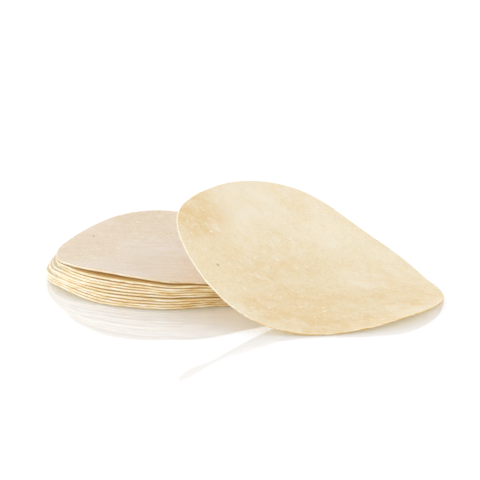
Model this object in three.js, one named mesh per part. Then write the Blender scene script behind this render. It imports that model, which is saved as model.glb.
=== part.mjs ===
import * as THREE from 'three';

// Driving dimensions, in millimetres and degrees. The bottom papadum is centred on the origin,
// +X runs to the right of the stack, +Y to its back and +Z up from the table. A place on a rim is
// its angle anticlockwise from +X, and the reach of a curl is half its width round the rim.

// One papadum: a round of lentil dough, rolled thin and dried.
const DIAMETER = 150;
const THICKNESS = 1.1;
const OUTLINE_UNEVENNESS = 0.7;
const OUTLINE_WAVES = [2, 3, 5];

// The stack: papadums lying flat, closest together in the middle and curling open at the rim. Those
// from the slid level up have slid to the right all the way, and those below it ever less.
const STACK_COUNT = 10;
const NESTING_GAP = 0.1;
const SLIDE = 5;
const SLID_LEVEL = 8;
const SLIDE_POWER = 4;
const BACKWARD_SLIP = 0.8;
const CURL_POWER = 3;

// Curls of papadums away from what they lie on, on all levels from the first to the last given,
// counted from the bottom, with the height reached at the rim.
const CURLS = [
  { levels: [1, 1], place: 212, reach: 28, height: 2.7 },
  { levels: [1, 1], place: 255, reach: 40, height: 0.7 },
  { levels: [1, 1], place: 283, reach: 20, height: 1.5 },
  { levels: [2, 2], place: 234, reach: 14, height: 0.4 },
  { levels: [3, 3], place: 224, reach: 14, height: 0.4 },
  { levels: [3, 3], place: 248, reach: 40, height: 0.5 },
  { levels: [4, 4], place: 250, reach: 38, height: 0.65 },
  { levels: [5, 5], place: 262, reach: 44, height: 0.6 },
  { levels: [5, 5], place: 279, reach: 18, height: 0.4 },
  { levels: [6, 6], place: 238, reach: 20, height: 0.8 },
  { levels: [6, 6], place: 257, reach: 11, height: 0.45 },
  { levels: [7, 7], place: 238, reach: 18, height: 0.3 },
  { levels: [8, 8], place: 252, reach: 20, height: 0.5 },
  { levels: [9, 9], place: 236, reach: 52, height: 0.6 },
  { levels: [9, 9], place: 274, reach: 15, height: 0.35 },
  { levels: [10, 10], place: 236, reach: 42, height: 2.8 },
  { levels: [10, 10], place: 270, reach: 26, height: 0.8 },
  { levels: [5, 9], place: 112, reach: 52, height: 0.78 },
  { levels: [10, 10], place: 113, reach: 54, height: 3.4 },
];

// Small ripples of every rim above the lowest, in the stretches that no neighbour presses flat.
const RIPPLES_PER_STRETCH = 3;
const RIPPLE_REACH = [14, 26];
const RIPPLE_HEIGHT = [0.02, 0.08];
const FREE_STRETCHES = [[70, 150], [205, 285]];

// The leaning papadum, a thinner one: its low side stands on the table in front, and its underside
// lies on the stack's rim. It climbs towards uphill, with a slope in degrees that is given as powers
// of the distance from its middle in radii. Its two ends across the climb curl up, three lobes of
// its rim rise and fall, and its far right rim sags in places.
const LEAN_THICKNESS = 0.8;
const LEAN_CENTRE = new THREE.Vector3(67, -46.5, 11.45);
const UPHILL = 156;
const SLOPE = [23, 29.9, -9.4, -19.7];
const SIDE_TILT = 4.9;
const LEAN_CURL = { place: 99.7, height: 6.9 };
const LEAN_LOBES = { place: 83, height: 3 };
const LEAN_OVAL = { place: 185, height: 1.5 };
const LEAN_CORNERS = { place: 50, height: 0.13 };
const LEAN_SAGS = [
  { place: 23, reach: 14, height: -0.9 },
  { place: 63, reach: 16, height: -1.2 },
  { place: 114, reach: 24, height: -0.5 },
];
const SAG_POWER = 4;

// Facets: sectors round the rim, and rings from the middle out, crowded towards the rim.
const SECTORS = 72;
const STACK_RINGS = 4;
const LEAN_RINGS = 7;
const RING_CROWDING = 0.6;
const CLIMB_STEPS = 24;

const STACK_COLOURS = ['#e6d6b4', '#ebdcbf', '#e3d1ab'];
const TOP_COLOUR = '#e8dac6';
const LEAN_COLOUR = '#ecdcb6';
const ROUGHNESS = 0.6;
const SEED = 1239;

const RADIUS = DIAMETER / 2;
const FULL_TURN = 2 * Math.PI;
const { degToRad, euclideanModulo, lerp } = THREE.MathUtils;
const random = seededRandom(SEED);

// A repeatable draw between 0 and 1.
function seededRandom(seed) {
  const multiplier = 16807;
  const modulus = 2147483647;
  let state = seed;
  return () => {
    state = (state * multiplier) % modulus;
    return state / modulus;
  };
}

// The height of a curl at an angle: full at its place, falling smoothly to none at its reach.
function curlHeight(curl, angle) {
  const turn = euclideanModulo(angle - degToRad(curl.place) + Math.PI, FULL_TURN) - Math.PI;
  const share = Math.min(1, Math.abs(turn) / degToRad(curl.reach));
  return curl.height * Math.cos((share * Math.PI) / 2) ** 2;
}

function sumOfCurls(curls, angle) {
  return curls.reduce((sum, curl) => sum + curlHeight(curl, angle), 0);
}

// A rim that rises and falls the given number of times in a turn, with one rise at its place.
function lobeHeight(lobes, count, angle) {
  return lobes.height * Math.cos(count * (angle - degToRad(lobes.place)));
}

// A closed thin sheet. The outline gives its radius at each angle, and underside and topside give
// the place of each point of the sheet from its radius and angle. Both faces are split alike.
function sheetGeometry(outline, underside, topside, rings) {
  const positions = [];
  for (const face of [underside, topside]) {
    positions.push(...face(0, 0));
    for (let ring = 1; ring <= rings; ring += 1) {
      const share = (ring / rings) ** RING_CROWDING;
      for (let sector = 0; sector < SECTORS; sector += 1) {
        const angle = (sector / SECTORS) * FULL_TURN;
        positions.push(...face(share * outline(angle), angle));
      }
    }
  }

  const topStart = 1 + rings * SECTORS;
  const corner = (ring, sector) => (ring === 0 ? 0 : 1 + (ring - 1) * SECTORS + (sector % SECTORS));
  const triangles = [];
  const addToBothFaces = (a, b, c) => {
    triangles.push(topStart + a, topStart + b, topStart + c);
    triangles.push(c, b, a);
  };
  for (let sector = 0; sector < SECTORS; sector += 1) {
    addToBothFaces(0, corner(1, sector), corner(1, sector + 1));
    for (let ring = 1; ring < rings; ring += 1) {
      const inner = corner(ring, sector);
      const innerNext = corner(ring, sector + 1);
      const outer = corner(ring + 1, sector);
      const outerNext = corner(ring + 1, sector + 1);
      addToBothFaces(inner, outer, outerNext);
      addToBothFaces(inner, outerNext, innerNext);
    }
    const rim = corner(rings, sector);
    const rimNext = corner(rings, sector + 1);
    triangles.push(rim, rimNext, topStart + rimNext);
    triangles.push(rim, topStart + rimNext, topStart + rim);
  }

  const geometry = new THREE.BufferGeometry();
  geometry.setAttribute('position', new THREE.Float32BufferAttribute(positions, 3));
  geometry.setIndex(triangles);
  geometry.computeVertexNormals();
  return geometry;
}

function papadum(name, colour, geometry) {
  const material = new THREE.MeshStandardMaterial({ color: colour, roughness: ROUGHNESS, metalness: 0 });
  const mesh = new THREE.Mesh(geometry, material);
  mesh.name = name;
  return mesh;
}

// The curls of one level: those listed for it and, above the lowest, its own ripples.
function curlsOfLevel(level) {
  const curls = CURLS.filter(({ levels: [first, last] }) => level >= first && level <= last);
  if (level === 1) return curls;
  for (const [from, to] of FREE_STRETCHES) {
    for (let count = 0; count < RIPPLES_PER_STRETCH; count += 1) {
      const place = lerp(from, to, random());
      const reach = lerp(...RIPPLE_REACH, random());
      const height = lerp(...RIPPLE_HEIGHT, random());
      curls.push({ place, reach, height });
    }
  }
  return curls;
}

// A nearly round rim, moved off the stack's axis as far as its level has slid and slipped.
function stackOutline(level) {
  const right = SLIDE * Math.min(1, (level - 1) / (SLID_LEVEL - 1)) ** SLIDE_POWER;
  const back = level === 1 ? 0 : lerp(-BACKWARD_SLIP, BACKWARD_SLIP, random());
  const waves = OUTLINE_WAVES.map((count) => ({ count, start: random() * FULL_TURN }));
  return (angle) => {
    const moved = right * Math.cos(angle) + back * Math.sin(angle);
    return waves.reduce((radius, { count, start }) => {
      return radius + (OUTLINE_UNEVENNESS / count) * Math.cos(count * angle + start);
    }, RADIUS + moved);
  };
}

// Each papadum's underside follows the top of the one below, at the nesting gap and its own curls.
function buildStack() {
  const stack = new THREE.Group();
  const curlsSoFar = [];
  for (let level = 1; level <= STACK_COUNT; level += 1) {
    curlsSoFar.push(...curlsOfLevel(level));
    const curls = [...curlsSoFar];
    const underside = (level - 1) * (THICKNESS + NESTING_GAP);
    const face = (height) => (radius, angle) => {
      const raised = sumOfCurls(curls, angle) * (radius / RADIUS) ** CURL_POWER;
      return [radius * Math.cos(angle), radius * Math.sin(angle), height + raised];
    };
    const outline = stackOutline(level);
    const geometry = sheetGeometry(outline, face(underside), face(underside + THICKNESS), STACK_RINGS);
    const colour = level === STACK_COUNT ? TOP_COLOUR : STACK_COLOURS[level % STACK_COLOURS.length];
    stack.add(papadum(`papadum_${String(level).padStart(2, '0')}`, colour, geometry));
  }
  return stack;
}

// How far along and how high a climb of the given length from the leaning papadum's middle gets.
function climb(length) {
  const step = length / CLIMB_STEPS;
  let along = 0;
  let up = 0;
  for (let count = 0; count < CLIMB_STEPS; count += 1) {
    const share = ((count + 0.5) * step) / RADIUS;
    const slope = degToRad(SLOPE.reduce((sum, part, power) => sum + part * share ** power, 0));
    along += Math.cos(slope) * step;
    up += Math.sin(slope) * step;
  }
  return { along, up };
}

// The middle of the leaning sheet, at a point of the flat round that it was bent from.
function leaningMiddle(x, y) {
  const uphill = degToRad(UPHILL);
  const side = uphill - Math.PI / 2;
  const tilt = degToRad(SIDE_TILT);
  const angle = Math.atan2(y, x);
  const share = Math.hypot(x, y) / RADIUS;
  const { along, up } = climb(x * Math.cos(uphill) + y * Math.sin(uphill));
  const across = x * Math.cos(side) + y * Math.sin(side);
  const level = across * Math.cos(tilt);
  const curl = LEAN_CURL.height * (share * Math.cos(angle - degToRad(LEAN_CURL.place))) ** 2;
  const lobes = lobeHeight(LEAN_LOBES, 3, angle) * share ** 3;
  const sags = sumOfCurls(LEAN_SAGS, angle) * share ** SAG_POWER;
  return new THREE.Vector3(
    along * Math.cos(uphill) + level * Math.cos(side),
    along * Math.sin(uphill) + level * Math.sin(side),
    up + across * Math.sin(tilt) + curl + lobes + sags,
  ).add(LEAN_CENTRE);
}

// A face of the leaning sheet lies off its middle by the offset, square to the sheet.
function leaningFace(offset) {
  const nearby = 0.5;
  return (radius, angle) => {
    const x = radius * Math.cos(angle);
    const y = radius * Math.sin(angle);
    const alongX = leaningMiddle(x + nearby, y).sub(leaningMiddle(x - nearby, y));
    const alongY = leaningMiddle(x, y + nearby).sub(leaningMiddle(x, y - nearby));
    const square = alongX.cross(alongY).normalize();
    return leaningMiddle(x, y).addScaledVector(square, offset).toArray();
  };
}

function buildLeaning() {
  const outline = (angle) => RADIUS + lobeHeight(LEAN_OVAL, 2, angle) + lobeHeight(LEAN_CORNERS, 3, angle);
  const underside = leaningFace(-LEAN_THICKNESS / 2);
  const topside = leaningFace(LEAN_THICKNESS / 2);
  const geometry = sheetGeometry(outline, underside, topside, LEAN_RINGS);
  return papadum('papadum_leaning', LEAN_COLOUR, geometry);
}

const papadums = new THREE.Group();
papadums.add(buildStack());
papadums.add(buildLeaning());

export default papadums;
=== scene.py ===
import math

import bpy
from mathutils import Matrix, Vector


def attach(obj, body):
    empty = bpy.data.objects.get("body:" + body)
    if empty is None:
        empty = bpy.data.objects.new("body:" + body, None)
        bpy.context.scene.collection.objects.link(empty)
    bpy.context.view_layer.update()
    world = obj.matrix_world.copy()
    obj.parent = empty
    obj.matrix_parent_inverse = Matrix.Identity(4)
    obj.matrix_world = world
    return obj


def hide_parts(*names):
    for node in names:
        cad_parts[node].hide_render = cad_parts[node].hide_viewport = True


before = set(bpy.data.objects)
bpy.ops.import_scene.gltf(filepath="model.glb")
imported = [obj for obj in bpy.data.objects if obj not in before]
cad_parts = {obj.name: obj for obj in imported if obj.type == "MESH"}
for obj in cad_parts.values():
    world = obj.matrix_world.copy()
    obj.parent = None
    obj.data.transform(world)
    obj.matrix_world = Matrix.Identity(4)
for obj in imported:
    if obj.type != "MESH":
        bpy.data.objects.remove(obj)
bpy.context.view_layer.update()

# The papadums of the stack: rounds of lentil dough, rolled thin, cut and dried in the sun until they
# are stiff. Drying curls their rims, so they lie loose on each other, nested in the middle and open
# towards the edge.
STACK_LEVELS = range(1, 10)
STACK_CENTRE = (0.002, 0.0, 0.006)
MERGE_DISTANCE = 1e-6
SHARP_RIM = math.radians(60)
RIM_ROUNDING = 0.00035
RIM_SEGMENTS = 2
SKIN_LEVELS = 3
SOFT_SHADE = math.radians(40)
UPPER_SLOT, EDGE_SLOT, UNDER_SLOT = range(3)


def apply_modifier(piece, kind, settings):
    """Adds a modifier with these settings to the active piece and applies it."""
    modifier = piece.modifiers.new(kind.lower(), kind)
    for name, value in settings.items():
        setattr(modifier, name, value)
    bpy.ops.object.modifier_apply(modifier=modifier.name)


def clouds(name, millimetres, depth):
    """A cloudy field that shifts the skin, with clouds of this size."""
    texture = bpy.data.textures.new(name, "CLOUDS")
    texture.noise_scale = millimetres / 1000
    texture.noise_depth = depth
    return texture


DRYING_WARP = clouds("drying_warp", 16, 1)
TEAR_ACROSS = clouds("rim_tear_across", 4.5, 2)
TEAR_ALONG = clouds("rim_tear_along", 6, 2)


def dough_round(node_name, piece_name, upper, edge, under, swell, warp, tear):
    """A papadum with one smooth skin: its facets merged, rounded, warped by drying and torn at the rim."""
    piece = bpy.data.objects.new(piece_name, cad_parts[node_name].data.copy())
    bpy.context.scene.collection.objects.link(piece)
    bpy.ops.object.select_all(action="DESELECT")
    piece.select_set(True)
    bpy.context.view_layer.objects.active = piece
    piece.data.materials.clear()
    for dough in (upper, edge, under):
        piece.data.materials.append(dough)
    bpy.ops.mesh.customdata_custom_splitnormals_clear()

    bpy.ops.object.mode_set(mode="EDIT")
    bpy.ops.mesh.select_mode(type="VERT")
    bpy.ops.mesh.select_all(action="SELECT")
    bpy.ops.mesh.remove_doubles(threshold=MERGE_DISTANCE)
    bpy.ops.mesh.tris_convert_to_quads()

    # The faces between the two sharp lines of the rim are its cut edge.
    bpy.ops.mesh.select_all(action="DESELECT")
    bpy.ops.mesh.edges_select_sharp(sharpness=SHARP_RIM)
    bpy.ops.mesh.select_mode(type="FACE")
    piece.active_material_index = EDGE_SLOT
    bpy.ops.object.material_slot_assign()

    # Both lines are rounded, and a crease keeps the edge's border in its place when the skin is smoothed.
    bpy.ops.mesh.select_mode(type="EDGE")
    bpy.ops.mesh.select_all(action="DESELECT")
    bpy.ops.mesh.edges_select_sharp(sharpness=SHARP_RIM)
    bpy.ops.mesh.bevel(offset=RIM_ROUNDING, segments=RIM_SEGMENTS, material=EDGE_SLOT)
    bpy.ops.mesh.select_all(action="DESELECT")
    bpy.ops.object.material_slot_select()
    bpy.ops.object.vertex_group_assign_new()
    bpy.ops.mesh.region_to_loop()
    bpy.ops.transform.edge_crease(value=1.0)
    bpy.ops.object.mode_set(mode="OBJECT")
    for face in piece.data.polygons:
        if face.material_index == UPPER_SLOT and face.normal.z < 0:
            face.material_index = UNDER_SLOT

    rim = piece.vertex_groups[0].name
    apply_modifier(piece, "SUBSURF", {"levels": SKIN_LEVELS, "render_levels": SKIN_LEVELS})
    apply_modifier(piece, "DISPLACE", {"direction": "NORMAL", "strength": swell, "mid_level": 0.0})
    apply_modifier(piece, "DISPLACE", {
        "texture": DRYING_WARP, "texture_coords": "LOCAL", "direction": "Z",
        "strength": warp, "mid_level": 0.5,
    })
    for texture, direction in ((TEAR_ACROSS, "X"), (TEAR_ALONG, "Y")):
        apply_modifier(piece, "DISPLACE", {
            "texture": texture, "texture_coords": "LOCAL", "direction": direction,
            "strength": tear, "mid_level": 0.5, "vertex_group": rim,
        })
    bpy.ops.object.shade_smooth_by_angle(angle=SOFT_SHADE)
    return piece


# Sizes of the dough's patterns in millimetres. Real grain, flour and crumbs are a few tenths of a
# millimetre, too fine to show in the picture, so they are drawn coarser here.
BLOTCH_MM = 30
MOTTLE_MM = 8
STREAK_MM = 3.2
FLECK_MM = 3.0
FLOUR_MM = 2.2
GRAIN_MM = 1.4
TOAST_MM = 4
CRUMB_MM = 0.7

# The rim's tan is full at its reach from the centre, and borders of tan places wander. A spot is full over
# its core, a share of its size. The painted golden glow of the gaps fades in between two places on the way
# forward.
RIM_REACH = 0.078
WANDER = 0.012
SPOT_CORE = 0.25
FRONT_FROM, FRONT_TO = -0.025, -0.045

# Depths of the relief in metres, and the painted shade that the right side adds to the toasting, which runs
# from 0 to 1.
MOTTLE_DEPTH = 0.0008
GRAIN_DEPTH = 0.0001
CRUMB_DEPTH = 0.0002
RIGHT_SHADE_RISE = 0.25

GRAIN_TAN = "#c6aa76"
FLOUR_WHITE = "#f6f1e6"
HUSK_BROWN = "#b08a48"
SEAR_AND_SHADE_BROWN = "#a87430"

# Sockets of a Mix node that blends two colours.
MIX_FACTOR, MIX_A, MIX_B, MIX_RESULT = 0, 6, 7, 2

# Dried starch lets a little light in, which comes out again close by and warmer.
DOUGH_BODY = {
    "IOR": 1.45,
    "Subsurface Weight": 0.2,
    "Subsurface Radius": (1.0, 0.6, 0.3),
    "Subsurface Scale": 0.001,
}


def linear(hex_colour):
    """An sRGB hex colour as linear light, with full alpha."""
    channels = [int(hex_colour[i:i + 2], 16) / 255 for i in (1, 3, 5)]
    return tuple(c / 12.92 if c <= 0.04045 else ((c + 0.055) / 1.055) ** 2.4 for c in channels) + (1.0,)


def per_metre(millimetres):
    """The texture scale that makes a pattern repeat at this size."""
    return 1000 / millimetres


def add_node(owner, kind, settings=None, links=None):
    """Adds a node to a material or world. Settings are its properties or its inputs' values, links are
    what feeds its inputs."""
    node = owner.node_tree.nodes.new(kind)
    for name, value in (settings or {}).items():
        if isinstance(name, str) and hasattr(node, name):
            setattr(node, name, value)
        else:
            node.inputs[name].default_value = value
    for name, source in (links or {}).items():
        owner.node_tree.links.new(source, node.inputs[name])
    return node


def nearness(dough, place, spots):
    """A mask that is full at each spot, given as its place, size and share, and fades out at its size."""
    mask = None
    for spot, size, share in spots:
        away = add_node(dough, "ShaderNodeVectorMath", {"operation": "DISTANCE", 1: spot}, {0: place})
        near = add_node(
            dough, "ShaderNodeMapRange",
            {"From Min": size * SPOT_CORE, "From Max": size, "To Min": share, "To Max": 0.0,
             "interpolation_type": "SMOOTHSTEP"},
            {"Value": away.outputs["Value"]}).outputs["Result"]
        if mask is None:
            mask = near
        else:
            mask = add_node(
                dough, "ShaderNodeMath", {"operation": "MAXIMUM"}, {0: mask, 1: near}).outputs["Value"]
    return mask


def dried_dough(
    name, pale, warm, tan, centre, rim_from, rim_share, streak_share, grain_share, fleck_turn,
    tan_and_shade_spots=(), pale_flecks_and_light=(), specks=(), painted_gap_glow=None,
):
    """Dried lentil dough: matt and faintly translucent, mottled in soft blotches where it dried unevenly,
    tan towards the rim, with floury pale flecks, a few brown specks of husk and a fine gritty grain. Tan
    spots can also carry painted shade, pale spots painted light, and a golden front a painted glow of the
    gaps."""
    dough = bpy.data.materials.new(name)
    dough.use_nodes = True
    place = add_node(dough, "ShaderNodeTexCoord").outputs["Object"]
    broad = add_node(
        dough, "ShaderNodeTexNoise", {"Scale": per_metre(BLOTCH_MM), "Detail": 2.0}, {"Vector": place})
    mottle = add_node(
        dough, "ShaderNodeTexNoise", {"Scale": per_metre(MOTTLE_MM), "Detail": 6.0, "Roughness": 0.7},
        {"Vector": place})
    grain = add_node(
        dough, "ShaderNodeTexNoise", {"Scale": per_metre(GRAIN_MM), "Detail": 3.0}, {"Vector": place})

    # Soft blotches between the pale and the warm colour.
    unevenness = add_node(
        dough, "ShaderNodeMath", {"operation": "ADD"}, {0: broad.outputs["Fac"], 1: mottle.outputs["Fac"]})
    blotch_mask = add_node(
        dough, "ShaderNodeMapRange", {"From Min": 0.82, "From Max": 1.2},
        {"Value": unevenness.outputs["Value"]})
    colour = add_node(
        dough, "ShaderNodeMix", {"data_type": "RGBA", MIX_A: linear(pale), MIX_B: linear(warm)},
        {MIX_FACTOR: blotch_mask.outputs["Result"]}).outputs[MIX_RESULT]

    # Tan at the rim and in a few places, with ragged borders; some of the places are painted shade.
    wander = add_node(
        dough, "ShaderNodeVectorMath",
        {"operation": "MULTIPLY_ADD", 1: (WANDER,) * 3, 2: (-WANDER / 2,) * 3},
        {0: mottle.outputs["Color"]}).outputs["Vector"]
    ragged = add_node(
        dough, "ShaderNodeVectorMath", {"operation": "ADD"}, {0: place, 1: wander}).outputs["Vector"]
    outward = add_node(
        dough, "ShaderNodeVectorMath", {"operation": "DISTANCE", 1: centre}, {0: ragged}).outputs["Value"]
    tan_places = add_node(
        dough, "ShaderNodeMapRange",
        {"From Min": rim_from, "From Max": RIM_REACH, "To Max": rim_share,
         "interpolation_type": "SMOOTHSTEP"},
        {"Value": outward}).outputs["Result"]
    if tan_and_shade_spots:
        tan_places = add_node(
            dough, "ShaderNodeMath", {"operation": "MAXIMUM"},
            {0: tan_places, 1: nearness(dough, ragged, tan_and_shade_spots)}).outputs["Value"]
    patchy = add_node(
        dough, "ShaderNodeMapRange", {"From Min": 0.35, "From Max": 0.6, "To Min": 0.45},
        {"Value": mottle.outputs["Fac"]}).outputs["Result"]
    tan_and_shade_mask = add_node(
        dough, "ShaderNodeMath", {"operation": "MULTIPLY"}, {0: tan_places, 1: patchy}).outputs["Value"]

    # Faint tan streaks from the rolling pin.
    rolled = add_node(
        dough, "ShaderNodeMapping", {"Scale": (0.1, 1.0, 1.0)}, {"Vector": place}).outputs["Vector"]
    streaks = add_node(
        dough, "ShaderNodeTexNoise", {"Scale": per_metre(STREAK_MM), "Detail": 3.0}, {"Vector": rolled})
    streak_mask = add_node(
        dough, "ShaderNodeMapRange", {"From Min": 0.45, "From Max": 0.68, "To Max": streak_share},
        {"Value": streaks.outputs["Fac"]}).outputs["Result"]

    # A gritty grain that is stronger in some areas.
    gritty = add_node(
        dough, "ShaderNodeMapRange", {"From Min": 0.4, "From Max": 0.62, "To Min": 0.3},
        {"Value": broad.outputs["Fac"]})
    grit = add_node(
        dough, "ShaderNodeMapRange", {"From Min": 0.5, "From Max": 0.7, "To Max": grain_share},
        {"Value": grain.outputs["Fac"]})
    grain_mask = add_node(
        dough, "ShaderNodeMath", {"operation": "MULTIPLY"},
        {0: grit.outputs["Result"], 1: gritty.outputs["Result"]}).outputs["Value"]

    # Flour: long flecks that were rolled flat, and small ones that show on the tan places.
    floury = add_node(
        dough, "ShaderNodeMapping", {"Rotation": (0, 0, fleck_turn), "Scale": (0.4, 1.0, 1.0)},
        {"Vector": place}).outputs["Vector"]
    flecks = add_node(
        dough, "ShaderNodeTexNoise", {"Scale": per_metre(FLECK_MM), "Detail": 2.0}, {"Vector": floury})
    long_flecks = add_node(
        dough, "ShaderNodeMapRange", {"From Min": 0.68, "From Max": 0.8, "To Max": 0.5},
        {"Value": flecks.outputs["Fac"]})
    flour = add_node(
        dough, "ShaderNodeTexNoise", {"Scale": per_metre(FLOUR_MM), "Detail": 2.0}, {"Vector": ragged})
    small_flecks = add_node(
        dough, "ShaderNodeMapRange", {"From Min": 0.61, "From Max": 0.72, "To Max": 0.75},
        {"Value": flour.outputs["Fac"]})
    flour_shows = add_node(
        dough, "ShaderNodeMapRange", {"From Max": 0.4, "To Min": 0.3}, {"Value": tan_and_shade_mask})
    shown_flecks = add_node(
        dough, "ShaderNodeMath", {"operation": "MULTIPLY"},
        {0: small_flecks.outputs["Result"], 1: flour_shows.outputs["Result"]})
    flour_and_light_mask = add_node(
        dough, "ShaderNodeMath", {"operation": "MAXIMUM"},
        {0: long_flecks.outputs["Result"], 1: shown_flecks.outputs["Value"]}).outputs["Value"]
    # Pale spots: small flecks of flour, or broad patches of painted light.
    if pale_flecks_and_light:
        flour_and_light_mask = add_node(
            dough, "ShaderNodeMath", {"operation": "MAXIMUM"},
            {0: flour_and_light_mask, 1: nearness(dough, place, pale_flecks_and_light)}).outputs["Value"]

    layers = [(tan, tan_and_shade_mask), (tan, streak_mask), (GRAIN_TAN, grain_mask), (FLOUR_WHITE, flour_and_light_mask)]
    if specks:
        layers.append((HUSK_BROWN, nearness(dough, place, specks)))
    # Painted glow: golden towards the front, where the faces show in the gaps, in place of warm light
    # bouncing there.
    if painted_gap_glow:
        forward = add_node(dough, "ShaderNodeSeparateXYZ", None, {"Vector": place}).outputs["Y"]
        front = add_node(
            dough, "ShaderNodeMapRange", {"From Min": FRONT_FROM, "From Max": FRONT_TO}, {"Value": forward})
        layers.append((painted_gap_glow, front.outputs["Result"]))
    for layer, mask in layers:
        colour = add_node(
            dough, "ShaderNodeMix", {"data_type": "RGBA", MIX_B: linear(layer)},
            {MIX_FACTOR: mask, MIX_A: colour}).outputs[MIX_RESULT]

    gloss = add_node(
        dough, "ShaderNodeMapRange", {"From Min": 0.3, "From Max": 0.7, "To Min": 0.5, "To Max": 0.68},
        {"Value": mottle.outputs["Fac"]})
    dents = add_node(
        dough, "ShaderNodeBump", {"Strength": 0.6, "Distance": MOTTLE_DEPTH},
        {"Height": mottle.outputs["Fac"]})
    relief = add_node(
        dough, "ShaderNodeBump", {"Strength": 0.5, "Distance": GRAIN_DEPTH},
        {"Height": grain.outputs["Fac"], "Normal": dents.outputs["Normal"]})

    shader = dough.node_tree.nodes["Principled BSDF"]
    for socket, value in DOUGH_BODY.items():
        shader.inputs[socket].default_value = value
    shader.inputs["Specular IOR Level"].default_value = 0.3
    dough.node_tree.links.new(colour, shader.inputs["Base Color"])
    dough.node_tree.links.new(gloss.outputs["Result"], shader.inputs["Roughness"])
    dough.node_tree.links.new(relief.outputs["Normal"], shader.inputs["Normal"])
    return dough


def cut_edge(name, pale, golden, lip_shade_colour, right_shade_from, right_shade_to, sear_and_shade_share, lip_shade_share, lip_from, lip_to):
    """The cut and dried edge of a round: paler and drier than its faces, golden and brown in short streaks.
    Painted shade adds more of the streaks rightwards and darkens the lower half of the rim where it faces
    down, where the rim is in shade."""
    edge = bpy.data.materials.new(name)
    edge.use_nodes = True
    place = add_node(edge, "ShaderNodeTexCoord").outputs["Object"]
    along = add_node(
        edge, "ShaderNodeMapping", {"Scale": (0.5, 0.5, 4.0)}, {"Vector": place}).outputs["Vector"]
    blotches = add_node(
        edge, "ShaderNodeTexNoise", {"Scale": per_metre(TOAST_MM), "Detail": 3.0}, {"Vector": along})
    crumbs = add_node(
        edge, "ShaderNodeTexNoise", {"Scale": per_metre(CRUMB_MM), "Detail": 2.0}, {"Vector": place})

    # Toasted streaks along the rim, with painted shade that adds more of them towards the right.
    sideways = add_node(edge, "ShaderNodeSeparateXYZ", None, {"Vector": place}).outputs["X"]
    right = add_node(
        edge, "ShaderNodeMapRange", {"From Min": right_shade_from, "From Max": right_shade_to, "To Max": RIGHT_SHADE_RISE},
        {"Value": sideways})
    toast_and_shade = add_node(
        edge, "ShaderNodeMath", {"operation": "ADD"},
        {0: blotches.outputs["Fac"], 1: right.outputs["Result"]})
    toasted_and_shaded = add_node(
        edge, "ShaderNodeMapRange", {"From Min": 0.45, "From Max": 0.8},
        {"Value": toast_and_shade.outputs["Value"]})
    seared_and_shaded = add_node(
        edge, "ShaderNodeMapRange", {"From Min": 0.72, "From Max": 0.86, "To Max": sear_and_shade_share},
        {"Value": toast_and_shade.outputs["Value"]})

    # Painted shade on the lower half of the rim: it fades in from one slope of the surface to another, in
    # patches, and grows towards the right.
    facing = add_node(edge, "ShaderNodeNewGeometry").outputs["Normal"]
    upward = add_node(edge, "ShaderNodeSeparateXYZ", None, {"Vector": facing}).outputs["Z"]
    lip_shade = add_node(
        edge, "ShaderNodeMapRange",
        {"From Min": lip_from, "From Max": lip_to, "To Max": lip_shade_share / RIGHT_SHADE_RISE},
        {"Value": upward})
    patchy = add_node(
        edge, "ShaderNodeMapRange", {"From Min": 0.35, "From Max": 0.5, "To Min": 0.25},
        {"Value": blotches.outputs["Fac"]})
    lip_shade_patches = add_node(
        edge, "ShaderNodeMath", {"operation": "MULTIPLY"},
        {0: lip_shade.outputs["Result"], 1: patchy.outputs["Result"]})
    lip_shade_mask = add_node(
        edge, "ShaderNodeMath", {"operation": "MULTIPLY"},
        {0: lip_shade_patches.outputs["Value"], 1: right.outputs["Result"]})

    colour = add_node(
        edge, "ShaderNodeMix", {"data_type": "RGBA", MIX_A: linear(pale), MIX_B: linear(golden)},
        {MIX_FACTOR: toasted_and_shaded.outputs["Result"]}).outputs[MIX_RESULT]
    for layer, mask in ((SEAR_AND_SHADE_BROWN, seared_and_shaded.outputs["Result"]), (lip_shade_colour, lip_shade_mask.outputs["Value"])):
        colour = add_node(
            edge, "ShaderNodeMix", {"data_type": "RGBA", MIX_B: linear(layer)},
            {MIX_FACTOR: mask, MIX_A: colour}).outputs[MIX_RESULT]
    rough = add_node(
        edge, "ShaderNodeMapRange", {"To Min": 0.6, "To Max": 0.8}, {"Value": crumbs.outputs["Fac"]})
    relief = add_node(
        edge, "ShaderNodeBump", {"Strength": 0.6, "Distance": CRUMB_DEPTH},
        {"Height": crumbs.outputs["Fac"]})

    shader = edge.node_tree.nodes["Principled BSDF"]
    for socket, value in DOUGH_BODY.items():
        shader.inputs[socket].default_value = value
    shader.inputs["Specular IOR Level"].default_value = 0.25
    edge.node_tree.links.new(colour, shader.inputs["Base Color"])
    edge.node_tree.links.new(rough.outputs["Result"], shader.inputs["Roughness"])
    edge.node_tree.links.new(relief.outputs["Normal"], shader.inputs["Normal"])
    return edge


# Lentil dough dried cream: dull and matt. Towards the front, where its faces show in the gaps, it is painted
# golden, a painted glow in place of the warm light that bounces in the gaps.
stack_dough = dried_dough(
    "dried_lentil_dough_cream", "#e0d9c8", "#dccdb1", "#d8c29a", centre=STACK_CENTRE,
    rim_from=0.055, rim_share=0.4, streak_share=0.2, grain_share=0.3, fleck_turn=0.6,
    painted_gap_glow="#faedc6")
# Lentil dough for the undersides, painted even, light and golden: a painted glow in place of the warm light
# that bounces and shines through into the gaps above and below it.
under_dough_painted_glow = dried_dough(
    "dried_lentil_dough_golden_painted_glow", "#faedc8", "#f9e9be", "#f8e4b0", centre=STACK_CENTRE,
    rim_from=0.055, rim_share=0.2, streak_share=0.1, grain_share=0.2, fleck_turn=0.6)
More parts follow.
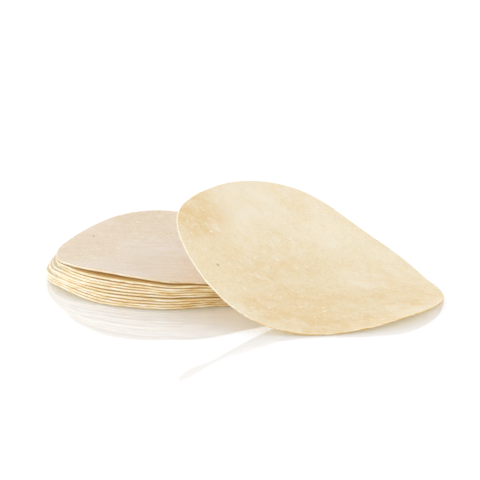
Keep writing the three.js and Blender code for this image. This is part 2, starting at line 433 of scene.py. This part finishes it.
# Cut lentil dough: a rough and nearly white crumb, which reads as thin pale lines; the brown ones between
# are painted shade, stronger towards the right.
stack_edge = cut_edge(
    "cut_dough_edge_cream", "#fcf5e4", "#f3d89e", "#8c5814", right_shade_from=-0.08, right_shade_to=0.04,
    sear_and_shade_share=0.25, lip_shade_share=1.0, lip_from=0.0, lip_to=-0.5)
for level in STACK_LEVELS:
    stack_round = dough_round(
        f"papadum_{level:02d}", f"stack_papadum_{level:02d}", stack_dough, stack_edge, under_dough_painted_glow,
        swell=0.00003, warp=0.00012, tear=0.0008)
    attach(stack_round, "root")
    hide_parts(f"papadum_{level:02d}")

# The top papadum: the same dough, dried paler and a little pink, with the faint streaks of the rolling
# pin. Its back rim has curled up highest and is more tan than the rest.
TOP_CENTRE = (0.01, -0.01, 0.012)
TOP_TAN_SPOTS = (
    ((-0.058, 0.0, 0.012), 0.05, 0.8),
    ((-0.025, 0.055, 0.015), 0.05, 0.8),
)
TOP_SPECKS = (((-0.0514, 0.0335, 0.0132), 0.0013, 0.8),)
TOP_PALE_SPOTS = (((-0.0466, 0.0087, 0.0119), 0.0022, 0.35),)
# Lentil dough dried pale: matt and pinkish, with fine streaks across and a tan haze at the left and back.
top_dough = dried_dough(
    "dried_lentil_dough_pinkish", "#e9ddd2", "#e5d7c8", "#e2d0b5", centre=TOP_CENTRE,
    rim_from=0.064, rim_share=0.6, streak_share=0.6, grain_share=0.35, fleck_turn=0.05,
    tan_and_shade_spots=TOP_TAN_SPOTS, pale_flecks_and_light=TOP_PALE_SPOTS, specks=TOP_SPECKS)
# Cut lentil dough: a pale golden line round the face, with painted shade in brown below it.
top_edge = cut_edge(
    "cut_dough_edge_pinkish", "#f3e9d4", "#e8d0a0", "#94601c", right_shade_from=-0.06, right_shade_to=0.04,
    sear_and_shade_share=0.4, lip_shade_share=0.8, lip_from=0.0, lip_to=-0.5)
top_round = dough_round(
    "papadum_10", "top_papadum", top_dough, top_edge, under_dough_painted_glow, swell=0.00003, warp=0.00012, tear=0.0005)
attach(top_round, "root")
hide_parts("papadum_10")

# The leaning papadum: a warmer, yellower round that dried into a saddle. It stands on the table with
# its low side and lies on the rim of the stack with its underside.
LEAN_CENTRE = (0.067, -0.0465, 0.0115)
# Tan spots at the left tip, and along the low side, where they also darken the flat low face as painted
# shade.
LEAN_TAN_AND_SHADE_SPOTS = (
    ((0.010, -0.030, 0.047), 0.028, 0.85),
    ((0.004, -0.047, 0.043), 0.034, 0.85),
    ((0.043, -0.064, 0.017), 0.030, 0.55),
    ((0.062, -0.047, 0.014), 0.028, 0.45),
    ((0.050, -0.098, 0.006), 0.028, 0.80),
    ((0.064, -0.084, 0.006), 0.042, 0.62),
    ((0.076, -0.104, 0.002), 0.030, 0.85),
    ((0.092, -0.078, 0.003), 0.038, 0.64),
    ((0.098, -0.094, 0.002), 0.026, 0.70),
    ((0.110, -0.063, 0.002), 0.034, 0.64),
    ((0.112, -0.030, 0.005), 0.020, 0.40),
    ((0.121, -0.068, 0.002), 0.024, 0.85),
    ((0.129, -0.046, 0.002), 0.026, 0.60),
)
# First a broad pale patch that lightens the steep upper right face as painted light, then small pale flecks
# of flour.
LEAN_FLECKS_AND_PAINTED_LIGHT = (
    ((0.0880, 0.0060, 0.0210), 0.0340, 0.22),
    ((0.0603, -0.0172, 0.0240), 0.0018, 0.4),
    ((0.0618, -0.0198, 0.0230), 0.0020, 0.4),
    ((0.0209, -0.0426, 0.0363), 0.0028, 0.35),
    ((0.0421, -0.0680, 0.0167), 0.0022, 0.5),
    ((0.0408, -0.0665, 0.0175), 0.0018, 0.4),
)
LEAN_SPECKS = (((0.0212, -0.0773, 0.0257), 0.0014, 0.7),)
# Lentil dough dried yellow: a warm matt cream, tan in clouds at the left tip and along the low side, where
# the tan is partly painted shade, with a broad patch of painted light at the upper right.
leaning_dough = dried_dough(
    "dried_lentil_dough_yellow", "#eee4ce", "#ebdcb9", "#e4c792", centre=LEAN_CENTRE,
    rim_from=0.062, rim_share=0.1, streak_share=0.0, grain_share=0.3, fleck_turn=0.7,
    tan_and_shade_spots=LEAN_TAN_AND_SHADE_SPOTS, pale_flecks_and_light=LEAN_FLECKS_AND_PAINTED_LIGHT, specks=LEAN_SPECKS)
# Cut lentil dough: a bright floury line at the left, turning golden towards the right with a golden lower
# half there, both painted shade.
leaning_edge = cut_edge(
    "cut_dough_edge_yellow", "#f6f0e2", "#eedcb4", "#d8ae60", right_shade_from=0.02, right_shade_to=0.055,
    sear_and_shade_share=0.0, lip_shade_share=1.0, lip_from=0.75, lip_to=0.3)
leaning_round = dough_round(
    "papadum_leaning", "leaning_papadum", leaning_dough, leaning_edge, under_dough_painted_glow,
    swell=0.00004, warp=0.0006, tear=0.0003)
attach(leaning_round, "root")
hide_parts("papadum_leaning")

# The floor: a plain white board under the stack, lacquered and slightly polished. It lies just below
# the papadums and mirrors the foot of the stack faintly.
FLOOR_SIDE = 8.0
FLOOR_DROP = 0.0001
WHITE = linear("#ffffff")
bpy.ops.object.select_all(action="DESELECT")
bpy.ops.mesh.primitive_plane_add(size=FLOOR_SIDE, location=(0, 0, -FLOOR_DROP))
floor = bpy.context.object
floor.name = "floor"
# Polished lacquer: a clean white that stays white under the soft light, with a clear, faint mirror image.
polished_white = bpy.data.materials.new("polished_white_board")
polished_white.use_nodes = True
lacquer = polished_white.node_tree.nodes["Principled BSDF"]
lacquer.inputs["Base Color"].default_value = linear("#e8eaee")
lacquer.inputs["Roughness"].default_value = 0.035
lacquer.inputs["IOR"].default_value = 1.8
lacquer.inputs["Emission Color"].default_value = WHITE
lacquer.inputs["Emission Strength"].default_value = 0.1
floor.data.materials.append(polished_white)

# The light: a white tent all round that is brightest at the horizon, and four soft panels. The one in
# front shines into the gaps of the stack. No panel shows in the polish of the floor, which mirrors the tent.
LIGHT_AIM = Vector((0.03, 0.0, 0.02))
PANELS = (
    ("front_panel", (-1.1, -1.7, 0.42), 2.0, 0.8, 8),
    ("left_panel", (-1.8, 0.2, 0.9), 1.6, 1.0, 3.5),
    ("right_panel", (1.6, -0.5, 1.1), 1.5, 1.5, 8),
    ("back_panel", (-0.8, 1.8, 1.2), 4.0, 1.5, 17),
)
world = bpy.data.worlds.new("white_tent")
bpy.context.scene.world = world
world.use_nodes = True
tent = world.node_tree.nodes["Background"]
tent.inputs["Color"].default_value = WHITE
sky_direction = add_node(world, "ShaderNodeTexCoord").outputs["Generated"]
sky_height = add_node(world, "ShaderNodeSeparateXYZ", None, {"Vector": sky_direction}).outputs["Z"]
tent_light = add_node(
    world, "ShaderNodeMapRange",
    {"From Min": 0.3, "From Max": 0.55, "To Min": 1.2, "To Max": 0.72, "interpolation_type": "SMOOTHSTEP"},
    {"Value": sky_height})
world.node_tree.links.new(tent_light.outputs["Result"], tent.inputs["Strength"])
for panel_name, panel_place, panel_width, panel_height, watts in PANELS:
    bpy.ops.object.light_add(type="AREA", location=panel_place)
    panel = bpy.context.object
    panel.name = panel_name
    panel.rotation_euler = (LIGHT_AIM - Vector(panel_place)).to_track_quat("-Z", "Y").to_euler()
    panel.data.shape = "RECTANGLE"
    panel.data.size = panel_width
    panel.data.size_y = panel_height
    panel.data.energy = watts
    panel.visible_camera = False
    panel.visible_glossy = False

# The view: a long lens, a little above the table, looking straight along the depth of the stack. The
# distance and the height come from the way the round outlines close up in the photograph.
VIEW_ELEVATION = math.radians(14.33)
VIEW_DISTANCE = 1.2
VIEW_AIM = Vector((0.03266, 0.07574, 0.0))
LENS_MM = 151.0
SENSOR_MM = 36
LIGHT_BOUNCES = 16
towards_camera = Vector((0.0, -math.cos(VIEW_ELEVATION), math.sin(VIEW_ELEVATION)))
bpy.ops.object.camera_add(
    location=VIEW_AIM + VIEW_DISTANCE * towards_camera,
    rotation=(math.pi / 2 - VIEW_ELEVATION, 0, 0),
)
camera = bpy.context.object
camera.data.sensor_width = SENSOR_MM
camera.data.lens = LENS_MM
bpy.context.scene.camera = camera
bpy.context.scene.view_settings.view_transform = "Standard"
# Light finds its way deep into the narrow gaps only after many bounces.
bpy.context.scene.cycles.max_bounces = LIGHT_BOUNCES
bpy.context.scene.cycles.diffuse_bounces = LIGHT_BOUNCES
